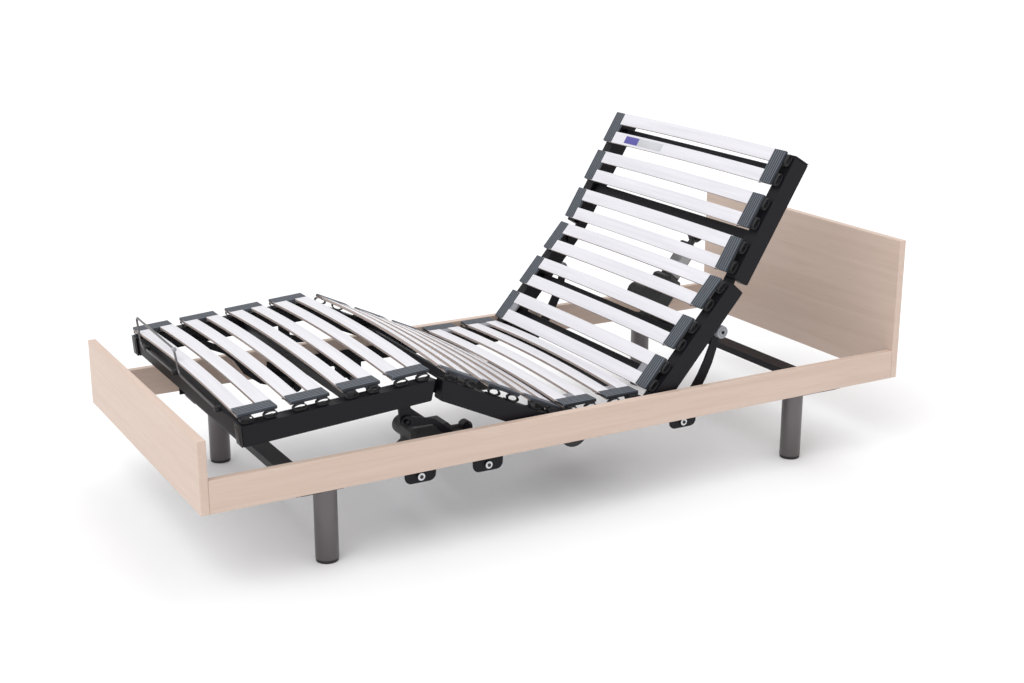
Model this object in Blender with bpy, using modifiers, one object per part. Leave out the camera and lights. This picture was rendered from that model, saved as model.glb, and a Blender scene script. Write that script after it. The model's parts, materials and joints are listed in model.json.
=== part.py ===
"""Adjustable bed base: a motorised slat base in a wooden surround.

Metres, +Z up. X runs along the bed, head board at +X. Y runs across it. Z is 0 on the floor.
The five lying sections are modelled in the flat layout and turned about their hinges by empties.
"""
import math

import bmesh
import bpy
from mathutils import Matrix, Vector

GAP = 0.0003                 # clearance between pieces that touch
# wooden surround
FRAME_LENGTH = 2.150
FRAME_WIDTH = 0.940
BOARD = 0.022                # thickness of every wooden board
RAIL_BOTTOM = 0.2145
SIDE_RAIL_HEIGHT = 0.084
FOOT_BOARD_HEIGHT = 0.185
HEAD_BOARD_HEIGHT = 0.4175
# legs and cross beams
LEG_RADIUS = 0.030
LEG_Y = 0.398
LEG_X = {"foot": -0.734, "head": 0.743}
GLIDE_HEIGHT = 0.008
LEG_PLATE = 0.004
BEAM_X = {"foot": -0.790, "head": 0.838}
BEAM_WIDTH = 0.052
BEAM_DEPTH = 0.020
BEAM_TOP = 0.2235
# section rails
SECTION_WIDTH = 0.880        # over the outer faces of the section rails
TUBE_WIDTH = 0.040
TUBE_DEPTH = 0.053
AXIS_Z = 0.2515              # hinge height; the middle of the rails when flat
# twin slats
PITCH = 0.135                # from one twin to the next
SEAT_FIRST_X = -0.006        # middle of the seat's first twin
HIP_BEFORE = 0.093           # from the seat's last twin to the hip hinge
HIP_AFTER = 0.0790           # from the hip hinge to the back's first twin
HEAD_BEFORE = 0.0670
HEAD_AFTER = 0.065
THIGH_AFTER = 0.0845          # from the thigh hinge to the seat's first twin
THIGH_BEFORE = 0.0505
KNEE_BEFORE = 0.0623
KNEE_AFTER = 0.064
CAP_LENGTH = 0.102
CAP_OUTER = 0.424            # outer edge of the rubber caps, from the centre line
CAP_INNER = 0.373
WIDE_CAP_INNER = 0.345
CAP_TOP = 0.027              # above the rail's top
CAP_THICK = 0.0125
SLAT_WIDTH = 0.038
SLAT_THICK = 0.008
SLAT_CAMBER = 0.014
SLAT_GAP = 0.026             # between the two slats of a twin
SLAT_SEGMENTS = 8
# angles of the shown position, in degrees above the horizontal
BACK_ANGLE = 48.9
HEAD_TILT = 9.8
THIGH_ANGLE = 25.2
KNEE_FOLD = 29.1
# end gaps of the rails at the hinges
HIP_GAP = 0.019
NECK_GAP = 0.0085
KNEE_GAP_TOP = 0.004
KNEE_GAP_BOTTOM = 0.020
THIGH_GAP = 0.012
FOOT_END = 0.0500            # from the last calf twin to the end of the calf rail
HEAD_END = 0.048
# hinge lugs
LUG_RADIUS = 0.017
LUG_LENGTH = 0.040
PIN_RADIUS = 0.005
HOLE_PLAY = 0.0008
# lifting gear
LEG_SHAFT = (-0.300, 0.190)
BACK_SHAFT = (0.314, 0.200)
STUB_AXLE = (-0.494, 0.195)
STUB_THICK_TO = 0.408          # thinner past here, so that the leg arms pass over the stub's journal
STUB_REACH = {"left": 0.370, "right": 0.270}   # how near the middle each stub axle comes
SHAFT_RADIUS = 0.0125
JOURNAL_RADIUS = 0.005
CARRIER_THICK = 0.004
CARRIER_BOTTOM = 0.2165
CARRIER_TOP = 0.262
CARRIER_ENDS = (-0.560, 0.380)
LUG_PLATE_WIDTH = 0.087
LUG_PLATE_DROP = 0.017       # below the shaft's axis
BACK_ARM = 0.270             # shaft to roller
BACK_ARM_ANGLE = 60.2
BACK_ARM_BOW = 0.022
ROLLER_RADIUS = 0.018
CALF_PIN = (-0.515, 0.335)
LEG_ARM_BEND = (-0.4403, 0.3230)
STRUT_PIN = (-0.790, 0.375)
STRUT_SLOT = (0.0100, -0.0050)   # the pin slides this far in the strut
ARM_THICK = 0.006
ARM_SLOT = ((0.0045, -0.0032), (-0.0042, 0.0022))   # where the calf pin moves in the leg arm
BACK_LEVER = (0.024, -0.0559)     # from the back shaft to its lever's pin
LEG_LEVER = (0.012, 0.058)
HEAD_DRIVE_AXIS = (0.236, -0.045)  # in the back section's own frame
HEAD_PIN = (0.100, -0.050)         # in the head section's own frame
LEG_DRIVE_Y = -0.300
BACK_DRIVE_Y = -0.190
HEAD_DRIVE_Y = -0.100
DRIVE_TRAVEL = {"back": 0.062, "leg": 0.040, "head": 0.009}   # how far each push rod draws in
ROD_RADIUS = 0.010
ROD_ENGAGED = 0.032
EYE_RADIUS = 0.015
MOTOR_WIDTH = 0.085
MOTOR_HALF_HEIGHT = 0.032
GEARBOX_LENGTH = 0.118
PROFILE_HALF_WIDTH = 0.021
PROFILE_HALF_HEIGHT = 0.019

INNER_Y = FRAME_WIDTH / 2 - BOARD
OUTER_Y = SECTION_WIDTH / 2
RAIL_Y = OUTER_Y - TUBE_WIDTH
HALF = TUBE_DEPTH / 2
HIP_X = SEAT_FIRST_X + PITCH + HIP_BEFORE
NECK_X = HIP_X + HIP_AFTER + 2 * PITCH + HEAD_BEFORE
THIGH_X = SEAT_FIRST_X - THIGH_AFTER
KNEE_X = THIGH_X - THIGH_BEFORE - 2 * PITCH - KNEE_BEFORE
FOOT_X = KNEE_X - KNEE_AFTER - 3 * PITCH - FOOT_END
HEAD_X = NECK_X + HEAD_AFTER + 2 * PITCH + HEAD_END
SIDES = {"left": 1, "right": -1}

COLOURS = {
    "beech": ((0.62, 0.48, 0.40, 1), 0.5, 0.0),
    "black_steel": ((0.035, 0.033, 0.038, 1), 0.42, 0.4),
    "leg_steel": ((0.10, 0.09, 0.092, 1), 0.38, 0.7),
    "slat_rubber": ((0.12, 0.14, 0.19, 1), 0.6, 0.0),
    "plated_steel": ((0.62, 0.62, 0.64, 1), 0.25, 1.0),
    "motor_plastic": ((0.012, 0.012, 0.013, 1), 0.45, 0.0),
    "grey_plastic": ((0.32, 0.33, 0.35, 1), 0.45, 0.0),
}


def clear_scene():
    """Remove every object of the open file."""
    for obj in list(bpy.data.objects):
        bpy.data.objects.remove(obj, do_unlink=True)


def make_collection(name):
    """A new collection under the scene's own."""
    coll = bpy.data.collections.new(name)
    bpy.context.scene.collection.children.link(coll)
    return coll


clear_scene()
PARTS = make_collection("adjustable_bed_base")
TOOLS = make_collection("cutters")


def make_materials():
    """One Principled material for each finish."""
    made = {}
    for name, (colour, roughness, metallic) in COLOURS.items():
        mat = bpy.data.materials.new(name)
        mat.use_nodes = True
        shader = mat.node_tree.nodes["Principled BSDF"]
        shader.inputs["Base Color"].default_value = colour
        shader.inputs["Roughness"].default_value = roughness
        shader.inputs["Metallic"].default_value = metallic
        made[name] = mat
    return made


MATERIALS = make_materials()


def make_frame(name, parent, x, z, turn):
    """An empty on a hinge axis; turn is about +Y, in degrees."""
    empty = bpy.data.objects.new(name, None)
    PARTS.objects.link(empty)
    empty.parent = parent
    empty.location = (x, 0, z)
    empty.rotation_euler = (0, math.radians(turn), 0)
    return empty


def raw_object(name, mesh):
    """An object that a later step finishes."""
    obj = bpy.data.objects.new(name, mesh)
    PARTS.objects.link(obj)
    return obj


def from_bmesh(name, bm):
    """Turn a bmesh into an object."""
    mesh = bpy.data.meshes.new(name)
    bm.to_mesh(mesh)
    bm.free()
    return raw_object(name, mesh)


def block(low, high, name="block"):
    """A box from its lowest to its highest corner."""
    bm = bmesh.new()
    bmesh.ops.create_cube(bm, size=1)
    size = Vector(high) - Vector(low)
    bmesh.ops.scale(bm, vec=size, verts=bm.verts)
    bmesh.ops.translate(bm, vec=(Vector(low) + Vector(high)) / 2, verts=bm.verts)
    return from_bmesh(name, bm)


def across(low, high, x0, x1, z0, z1):
    """A box given by its Y range first, for pieces that repeat on both sides."""
    return block((x0, min(low, high), z0), (x1, max(low, high), z1))


def rod(start, end, radius, sides=16):
    """A round bar from one point to another."""
    start, end = Vector(start), Vector(end)
    axis = end - start
    bm = bmesh.new()
    bmesh.ops.create_cone(bm, cap_ends=True, segments=sides, radius1=radius, radius2=radius,
                          depth=axis.length)
    turn = Vector((0, 0, 1)).rotation_difference(axis).to_matrix().to_4x4()
    bmesh.ops.transform(bm, matrix=Matrix.Translation((start + end) / 2) @ turn, verts=bm.verts)
    return from_bmesh("rod", bm)


def plate(outline, y0, y1):
    """A flat plate: an outline in X and Z, from y0 to y1."""
    low, high = min(y0, y1), max(y0, y1)
    curve = bpy.data.curves.new("plate", "CURVE")
    curve.dimensions = "2D"
    curve.fill_mode = "BOTH"
    curve.extrude = (high - low) / 2
    spline = curve.splines.new("POLY")
    spline.points.add(len(outline) - 1)
    for point, (x, z) in zip(spline.points, outline):
        point.co = (x, z, 0, 1)
    spline.use_cyclic_u = True
    source = raw_object("plate_curve", curve)
    graph = bpy.context.evaluated_depsgraph_get()
    mesh = bpy.data.meshes.new_from_object(source.evaluated_get(graph))
    bpy.data.objects.remove(source, do_unlink=True)
    bm = bmesh.new()
    bm.from_mesh(mesh)
    bmesh.ops.remove_doubles(bm, verts=bm.verts, dist=1e-6)
    stand = Matrix.Translation((0, (low + high) / 2, 0)) @ Matrix.Rotation(math.pi / 2, 4, "X")
    bmesh.ops.transform(bm, matrix=stand, verts=bm.verts)
    bmesh.ops.recalc_face_normals(bm, faces=bm.faces)
    return from_bmesh("plate", bm)


def arc(cx, cz, radius, start, end, steps):
    """Points on an arc, angles in degrees."""
    points = []
    for i in range(steps + 1):
        a = math.radians(start + (end - start) * i / steps)
        points.append((cx + radius * math.cos(a), cz + radius * math.sin(a)))
    return points


def link_outline(p0, p1, r0, r1, steps=8):
    """A straight bar with round ends of two radii."""
    lean = math.degrees(math.atan2(p1[1] - p0[1], p1[0] - p0[0]))
    first = arc(p0[0], p0[1], r0, lean + 90, lean + 270, steps)
    last = arc(p1[0], p1[1], r1, lean - 90, lean + 90, steps)
    return first + last


def band_outline(path, widths, steps=8):
    """A bent bar with round ends: the path's points, moved to each side by half its width."""
    upper, lower = [], []
    for i, (x, z) in enumerate(path):
        before = path[max(i - 1, 0)]
        after = path[min(i + 1, len(path) - 1)]
        lean = math.atan2(after[1] - before[1], after[0] - before[0])
        side = (-math.sin(lean) * widths[i] / 2, math.cos(lean) * widths[i] / 2)
        upper.append((x + side[0], z + side[1]))
        lower.append((x - side[0], z - side[1]))
    head = path[-1]
    lean = math.degrees(math.atan2(head[1] - path[-2][1], head[0] - path[-2][0]))
    tip = arc(head[0], head[1], widths[-1] / 2, lean - 90, lean + 90, steps)[1:-1]
    tail = path[0]
    lean = math.degrees(math.atan2(path[1][1] - tail[1], path[1][0] - tail[0]))
    end = arc(tail[0], tail[1], widths[0] / 2, lean + 90, lean + 270, steps)[1:-1]
    return lower + tip + upper[::-1] + end


def bowed_path(start, end, bow, steps=6):
    """Points from start to end on a shallow arc that bows to the right by bow."""
    points = []
    dx, dz = end[0] - start[0], end[1] - start[1]
    length = math.hypot(dx, dz)
    for i in range(steps + 1):
        t = i / steps
        off = 4 * bow * t * (1 - t)
        points.append((start[0] + dx * t + off * dz / length, start[1] + dz * t - off * dx / length))
    return points


def combine(body, extra, operation):
    """Join other solids to a body, or cut them from it, with Boolean modifiers."""
    for tool in extra:
        PARTS.objects.unlink(tool)
        TOOLS.objects.link(tool)
        tool.hide_render = True
        tool.display_type = "WIRE"
        tool.parent = body
        step = body.modifiers.new(operation.lower(), "BOOLEAN")
        step.operation = operation
        step.object = tool
        step.solver = "EXACT"


def finish(name, body, material, parent=None, join=(), cut=(), bevel=0.0):
    """Name a piece, round it, join and cut it, and give it its material and parent."""
    body.name = name
    body.data.name = name
    body.data.materials.clear()
    body.data.materials.append(MATERIALS[material])
    if bevel:
        edge = body.modifiers.new("edges", "BEVEL")
        edge.width = bevel
        edge.segments = 1
        edge.limit_method = "ANGLE"
        edge.angle_limit = math.radians(40)
    combine(body, join, "UNION")
    combine(body, cut, "DIFFERENCE")
    body.parent = parent
    body.data.set_sharp_from_angle(angle=math.radians(35))
    return body


def freeze(source):
    """A mesh of a piece with its modifiers applied."""
    bpy.context.view_layer.update()
    graph = bpy.context.evaluated_depsgraph_get()
    return bpy.data.meshes.new_from_object(source.evaluated_get(graph))


def build_surround():
    """Two side rails between a low foot board and a high head board."""
    half = FRAME_LENGTH / 2
    inner = half - BOARD
    top = RAIL_BOTTOM + SIDE_RAIL_HEIGHT
    for side, sign in SIDES.items():
        board = across(sign * INNER_Y, sign * FRAME_WIDTH / 2, GAP - inner, inner - GAP, RAIL_BOTTOM, top)
        finish(f"side_rail_{side}", board, "beech", bevel=0.0012)
    for name, sign, height in (("foot_board", -1, FOOT_BOARD_HEIGHT), ("head_board", 1, HEAD_BOARD_HEIGHT)):
        x0, x1 = sorted((sign * inner, sign * half))
        board = block((x0, -FRAME_WIDTH / 2, RAIL_BOTTOM), (x1, FRAME_WIDTH / 2, RAIL_BOTTOM + height))
        finish(name, board, "beech", bevel=0.0012)


def build_leg(end, side, sign):
    """A round steel leg with a plastic glide below and a plate under the cross beam."""
    x, y = LEG_X[end], sign * LEG_Y
    plate_top = BEAM_TOP - BEAM_DEPTH - GAP
    plate_low = plate_top - LEG_PLATE
    shank = rod((x, y, GLIDE_HEIGHT), (x, y, plate_low + LEG_PLATE / 2), LEG_RADIUS, 28)
    glide = rod((x, y, 0), (x, y, GLIDE_HEIGHT + 0.002), LEG_RADIUS - 0.0015, 28)
    reach = (x - 0.035, x + 0.035, BEAM_X[end] - BEAM_WIDTH / 2, BEAM_X[end] + BEAM_WIDTH / 2)
    flange = block((min(reach), y - 0.040, plate_low), (max(reach), y + 0.040, plate_top))
    finish(f"leg_{end}_{side}", shank, "leg_steel", join=(glide, flange))


def build_beam(end):
    """A flat steel tube across the surround, with an upright ear at each end."""
    x = BEAM_X[end]
    reach = INNER_Y - GAP
    beam = block((x - BEAM_WIDTH / 2, -reach, BEAM_TOP - BEAM_DEPTH), (x + BEAM_WIDTH / 2, reach, BEAM_TOP))
    ears = [across(s * (reach - 0.003), s * reach, x - 0.040, x + 0.040, BEAM_TOP - BEAM_DEPTH + 0.001, 0.268)
            for s in SIDES.values()]
    finish(f"cross_beam_{end}", beam, "black_steel", join=ears)


def lug_plate(x, z):
    """The rounded tongue of a carrier that holds a shaft's end."""
    half, low, r = LUG_PLATE_WIDTH / 2, z - LUG_PLATE_DROP, 0.018
    left = arc(x - half + r, low + r, r, 180, 270, 4)
    right = arc(x + half - r, low + r, r, 270, 360, 4)
    return left + right + [(x + half, CARRIER_BOTTOM + 0.01), (x - half, CARRIER_BOTTOM + 0.01)]


def build_carrier(side, sign):
    """A steel strip inside the side rail, with three tongues that carry the cross shafts."""
    outer = sign * (INNER_Y - GAP)
    inner = outer - sign * CARRIER_THICK
    strip = across(inner, outer, *CARRIER_ENDS, CARRIER_BOTTOM, CARRIER_TOP)
    tongues = [plate(lug_plate(*spot), inner, outer) for spot in (STUB_AXLE, LEG_SHAFT, BACK_SHAFT)]
    holes = [rod((x, inner - sign * 0.01, z), (x, outer + sign * 0.01, z), JOURNAL_RADIUS + HOLE_PLAY)
             for x, z in (STUB_AXLE, LEG_SHAFT, BACK_SHAFT)]
    finish(f"carrier_{side}", strip, "black_steel", join=tongues, cut=holes)


def build_shaft_body(spot, inner=INNER_Y - CARRIER_THICK - 2 * GAP):
    """A cross shaft that thins to a journal past inner, with a washer head past each carrier."""
    x, z = spot
    outer = INNER_Y + GAP
    shaft = rod((x, -inner, z), (x, inner, z), SHAFT_RADIUS)
    journal = rod((x, -outer - 0.003, z), (x, outer + 0.003, z), JOURNAL_RADIUS)
    heads = [rod((x, s * outer, z), (x, s * (outer + 0.0038), z), 0.0085) for s in SIDES.values()]
    return shaft, [journal, *heads]


def build_stub_axles():
    """The short axles of the foremost tongues: the strut turns on the left one, the leg drive's tail sits on the right one."""
    x, z = STUB_AXLE
    outer = INNER_Y + GAP
    for side, sign in SIDES.items():
        stub = rod((x, sign * STUB_REACH[side], z), (x, sign * STUB_THICK_TO, z), SHAFT_RADIUS)
        journal = rod((x, sign * (STUB_REACH[side] + 0.01), z), (x, sign * (outer + 0.003), z), JOURNAL_RADIUS)
        head = rod((x, sign * outer, z), (x, sign * (outer + 0.0038), z), 0.0085)
        collar_end = INNER_Y - CARRIER_THICK - 2 * GAP
        collar = rod((x, sign * (collar_end - 0.008), z), (x, sign * collar_end, z), SHAFT_RADIUS)
        finish(f"stub_axle_{side}", stub, "black_steel", join=(journal, head, collar))


def hinge_lugs(sign, x, direction, inner_plate):
    """One rail's half of a hinge: a plate on its inner face that reaches the hinge axis.

    The outer plate carries the pin; the inner plate has the hole.
    """
    far = x + direction * LUG_LENGTH
    y0, y1 = (0.0875, 0.0925) if inner_plate else (0.0935, 0.0985)
    base = RAIL_Y - 0.1
    outline = link_outline((x, 0), (far, 0), LUG_RADIUS, LUG_RADIUS)
    lug = plate(outline, sign * (base + y0), sign * (base + y1))
    x0, x1 = sorted((x + direction * 0.026, far))
    foot = across(sign * (base + y0), sign * (RAIL_Y + 0.002), x0, x1, -0.012, 0.012)
    if inner_plate:
        hole = rod((x, sign * (base + 0.08), 0), (x, sign * RAIL_Y, 0), PIN_RADIUS + HOLE_PLAY)
        return [lug, foot], [hole]
    pin = rod((x, sign * (base + 0.0845), 0), (x, sign * (base + 0.096), 0), PIN_RADIUS, 12)
    return [lug, foot, pin], []


def section_rail(name, side, sign, parent, ends, hinges, extra=((), ())):
    """A section's side rail: ends is (low x, high x) at the bottom, then at the top."""
    (bottom0, bottom1), (top0, top1) = ends
    outline = [(bottom0, -HALF), (bottom1, -HALF), (top1, HALF), (top0, HALF)]
    rail = plate(outline, sign * RAIL_Y, sign * OUTER_Y)
    joins, cuts = list(extra[0]), list(extra[1])
    for x, direction, inner_plate in hinges:
        more, less = hinge_lugs(sign, x, direction, inner_plate)
        joins += more
        cuts += less
    finish(f"{name}_rail_{side}", rail, "black_steel", parent, joins, cuts, bevel=0.0025)


def cross_tube(name, parent, x, width=0.030, depth=0.026, join=()):
    """A tube between a section's two rails, its middle at x."""
    reach = RAIL_Y - GAP
    tube = block((x - width / 2, -reach, -depth / 2), (x + width / 2, reach, depth / 2))
    finish(name, tube, "black_steel", parent, join=join, bevel=0.002)


def fork(root, tip, y, spread):
    """Two bracket plates from root to tip with a pin between them."""
    plates = [plate(link_outline(root, tip, 0.013, 0.011), y + s * spread - 0.0025, y + s * spread + 0.0025)
              for s in (-1, 1)]
    pin = rod((tip[0], y - spread - 0.006, tip[1]), (tip[0], y + spread + 0.006, tip[1]), PIN_RADIUS, 12)
    return [*plates, pin]


def slat_strip(x):
    """One cambered slat across the section: a thin box, bent so that its middle stands higher."""
    reach = CAP_OUTER - 0.006
    bm = bmesh.new()
    bmesh.ops.create_grid(bm, x_segments=1, y_segments=SLAT_SEGMENTS, size=1)
    for vert in bm.verts:
        t = vert.co.y
        rise = SLAT_CAMBER * (1 - t * t)
        top = HALF + CAP_TOP - 0.003
        vert.co = (x + vert.co.x * SLAT_WIDTH / 2, t * reach, top + rise)
    bmesh.ops.solidify(bm, geom=bm.faces[:], thickness=SLAT_THICK)
    bmesh.ops.recalc_face_normals(bm, faces=bm.faces)
    return from_bmesh("slat", bm)


def slat_twin_mesh(cap_inner):
    """Two slats, the rubber cap over each pair of ends, and the spring block under each cap."""
    step = (SLAT_WIDTH + SLAT_GAP) / 2
    first = slat_strip(-step)
    pieces = [slat_strip(step)]
    top = HALF + CAP_TOP
    for sign in SIDES.values():
        pieces.append(across(sign * cap_inner, sign * CAP_OUTER, -CAP_LENGTH / 2, CAP_LENGTH / 2,
                             top - CAP_THICK, top))
        for x in (-step, step):
            pieces.append(across(sign * 0.4045, sign * 0.4155, x - 0.016, x + 0.016,
                                 HALF + GAP, top - CAP_THICK / 2))
        pieces.append(across(sign * 0.403, sign * 0.417, -0.042, 0.042, HALF + GAP, HALF + 0.006))
    finish("slat_twin", first, "slat_rubber", join=pieces)
    mesh = freeze(first)
    for tool in [first, *pieces]:
        bpy.data.objects.remove(tool, do_unlink=True)
    return mesh


def place_twins(name, parent, first_x, count, meshes, wide=()):
    """Twin slats along a section; those numbered in wide have the wider caps."""
    for i in range(count):
        twin = raw_object(f"{name}_slats_{i + 1}", meshes[i in wide])
        twin.parent = parent
        twin.location = (first_x + i * PITCH, 0, 0)


def build_seat(frame, meshes):
    """The fixed section: its rails stand against the carriers."""
    reach = HIP_X - HIP_GAP
    for side, sign in SIDES.items():
        start = THIGH_X + THIGH_GAP
        hinges = ((THIGH_X, 1, False), (HIP_X, -1, False))
        packer = across(sign * (OUTER_Y - 0.002), sign * (INNER_Y - 2 * GAP - CARRIER_THICK),
                        start + 0.02, reach - 0.02, -0.02, 0.005)
        section_rail("seat", side, sign, frame, ((start, reach), (start, reach)), hinges, ((packer,), ()))
    cross_tube("seat_cross_tube", frame, SEAT_FIRST_X)
    place_twins("seat", frame, SEAT_FIRST_X, 2, meshes, wide=(0, 1))


def build_thigh(frame, meshes):
    """The thigh section, from its hinge at the seat to the knee."""
    low, high = KNEE_X - THIGH_X, -THIGH_GAP
    ends = ((low + KNEE_GAP_BOTTOM, high), (low + KNEE_GAP_TOP, high))
    for side, sign in SIDES.items():
        section_rail("thigh", side, sign, frame, ends, ((0, -1, True), (low, 1, False)))
    cross_tube("thigh_cross_tube", frame, -THIGH_BEFORE - PITCH)
    place_twins("thigh", frame, -THIGH_BEFORE - 2 * PITCH, 3, meshes)


def calf_local(spot, frame):
    """A point of the side view, given in world X and Z, in the calf section's own frame."""
    bpy.context.view_layer.update()
    at = frame.matrix_world.inverted() @ Vector((spot[0], 0, spot[1]))
    return at.x, at.z


def calf_bracket(sign, spot):
    """The drop bracket under a calf rail, with the pin that the lifting arm carries."""
    x, z = spot
    outline = [(x - 0.016, z - 0.006), *arc(x, z - 0.002, 0.012, 200, 340, 5), (x + 0.016, z - 0.006),
               (x + 0.016, 0.002 - HALF), (x - 0.016, 0.002 - HALF)]
    hanger = plate(outline, sign * 0.4035, sign * 0.4115)
    pin = rod((x, sign * 0.4045, z), (x, sign * 0.4235, z), PIN_RADIUS, 12)
    return hanger, pin


def build_calf(frame, meshes):
    """The calf section, with the foot tube, the drop brackets and the strut's pin."""
    start, end = FOOT_X - KNEE_X, 0
    ends = ((start, end - KNEE_GAP_BOTTOM), (start, end - KNEE_GAP_TOP))
    bracket = calf_local(CALF_PIN, frame)
    pin_x, pin_z = calf_local(STRUT_PIN, frame)
    for side, sign in SIDES.items():
        extra = list(calf_bracket(sign, bracket))
        if side == "left":
            extra.append(rod((pin_x, RAIL_Y + 0.002, pin_z), (pin_x, RAIL_Y - 0.016, pin_z), PIN_RADIUS, 12))
        section_rail("calf", side, sign, frame, ends, ((0, -1, True),), (extra, ()))
    tube = block((start + 0.003, GAP - RAIL_Y, 0.004 - HALF), (start + 0.043, RAIL_Y - GAP, HALF - 0.002))
    finish("calf_foot_tube", tube, "black_steel", frame, bevel=0.0025)
    cross_tube("calf_mid_tube", frame, -KNEE_AFTER - PITCH)
    place_twins("calf", frame, -KNEE_AFTER - 3 * PITCH, 4, meshes)
    build_retainer(frame, start)


def build_retainer(frame, start):
    """The wire mattress stop: an upright loop whose feet lie along the foot tube."""
    x, z, top, r = start - 0.0055, HALF - 0.002, HALF + 0.076, 0.016
    route = [(0.045, z), (0.335 - r, z)]
    route += [(0.335 - r + r * math.sin(a), z + r - r * math.cos(a)) for a in (0.4, 0.8, 1.2)]
    route += [(0.337, z + r), (0.350, top - r)]
    route += [(0.350 - r + r * math.cos(a), top - r + r * math.sin(a)) for a in (0.4, 0.8, 1.2)]
    route += [(0.350 - r, top), (0.020 + r, top - 0.004)]
    route += [(0.020 + r - r * math.sin(a), top - 0.004 - r + r * math.cos(a)) for a in (0.4, 0.8, 1.2)]
    route += [(0.020, top - 0.004 - r), (0.002, z + r + 0.008)]
    route += [(0.002 - r + r * math.cos(a), z + r + 0.008 - r * math.sin(a)) for a in (0.4, 0.8, 1.2)]
    route += [(-0.016, z + 0.008), (-0.040, z + 0.003), (-0.290, z)]
    curve = bpy.data.curves.new("mattress_stop", "CURVE")
    curve.dimensions = "3D"
    curve.bevel_depth = 0.0028
    curve.bevel_resolution = 1
    curve.use_fill_caps = True
    spline = curve.splines.new("POLY")
    spline.points.add(len(route) - 1)
    for point, (y, height) in zip(spline.points, route):
        point.co = (x, y, height, 1)
    wire = raw_object("mattress_stop", curve)
    wire.data.materials.append(MATERIALS["plated_steel"])
    wire.parent = frame


def build_back(frame, meshes):
    """The lower back section, from the hip to the head section's hinge."""
    end = NECK_X - HIP_X
    ends = ((HIP_GAP, end - NECK_GAP), (HIP_GAP, end - NECK_GAP))
    for side, sign in SIDES.items():
        section_rail("back", side, sign, frame, ends, ((0, 1, True), (end, -1, False)))
    cross_tube("back_cross_tube_1", frame, HIP_AFTER)
    middle = HIP_AFTER + PITCH
    cross_tube("back_cross_tube_2", frame, middle, join=fork((middle, 0), HEAD_DRIVE_AXIS, HEAD_DRIVE_Y, 0.018))
    place_twins("back", frame, HIP_AFTER, 3, meshes, wide=(0,))


def build_head(frame, meshes):
    """The head section, which tilts on the back section."""
    end = HEAD_X - NECK_X
    for side, sign in SIDES.items():
        section_rail("head", side, sign, frame, ((NECK_GAP, end), (NECK_GAP, end)), ((0, 1, True),))
    middle = HEAD_AFTER + PITCH / 2
    cross_tube("head_cross_tube_1", frame, middle, width=0.040, join=fork((middle, 0), HEAD_PIN, HEAD_DRIVE_Y, 0.018))
    cross_tube("head_cross_tube_2", frame, HEAD_AFTER + 2 * PITCH)
    place_twins("head", frame, HEAD_AFTER, 3, meshes)


def build_leg_lift():
    """The leg shaft, its two arms and the lever that the leg motor pushes."""
    shaft, joins = build_shaft_body(LEG_SHAFT)
    holes = []
    for sign in SIDES.values():
        outline = band_outline([LEG_SHAFT, LEG_ARM_BEND, CALF_PIN], (0.038, 0.015, 0.030))
        joins.append(plate(outline, sign * 0.4125, sign * 0.4185))
        ends = [(CALF_PIN[0] + dx, CALF_PIN[1] + dz) for dx, dz in ARM_SLOT]
        holes.append(plate(link_outline(*ends, PIN_RADIUS + 0.0012, PIN_RADIUS + 0.0012), sign * 0.40, sign * 0.43))
    tip = (LEG_SHAFT[0] + LEG_LEVER[0], LEG_SHAFT[1] + LEG_LEVER[1])
    joins += fork(LEG_SHAFT, tip, LEG_DRIVE_Y, 0.018)
    finish("leg_lift_shaft", shaft, "black_steel", join=joins, cut=holes)


def arm_tip():
    """Where the back arm's roller sits."""
    a = math.radians(BACK_ARM_ANGLE)
    return BACK_SHAFT[0] + BACK_ARM * math.cos(a), BACK_SHAFT[1] + BACK_ARM * math.sin(a)


def build_back_lift():
    """The back shaft, its two bowed arms with roller pins, and the lever for the back motor."""
    shaft, joins = build_shaft_body(BACK_SHAFT)
    tip = arm_tip()
    path = bowed_path(BACK_SHAFT, tip, BACK_ARM_BOW)
    for sign in SIDES.values():
        joins.append(plate(band_outline(path, (0.040, 0.036, 0.032, 0.030, 0.029, 0.026, 0.020)),
                           sign * 0.406, sign * 0.412))
        joins.append(rod((tip[0], sign * 0.408, tip[1]), (tip[0], sign * 0.4385, tip[1]), PIN_RADIUS, 12))
    lever = (BACK_SHAFT[0] + BACK_LEVER[0], BACK_SHAFT[1] + BACK_LEVER[1])
    joins += fork(BACK_SHAFT, lever, BACK_DRIVE_Y, 0.018)
    finish("back_lift_shaft", shaft, "black_steel", join=joins)
    for side, sign in SIDES.items():
        wheel = rod((tip[0], sign * 0.4145, tip[1]), (tip[0], sign * 0.4365, tip[1]), ROLLER_RADIUS, 24)
        hole = rod((tip[0], sign * 0.40, tip[1]), (tip[0], sign * 0.45, tip[1]), PIN_RADIUS + HOLE_PLAY)
        hub = make_frame(f"{side}_roller_axis", None, 0, 0, 0)
        finish(f"back_roller_{side}", wheel, "grey_plastic", hub, cut=(hole,))


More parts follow.
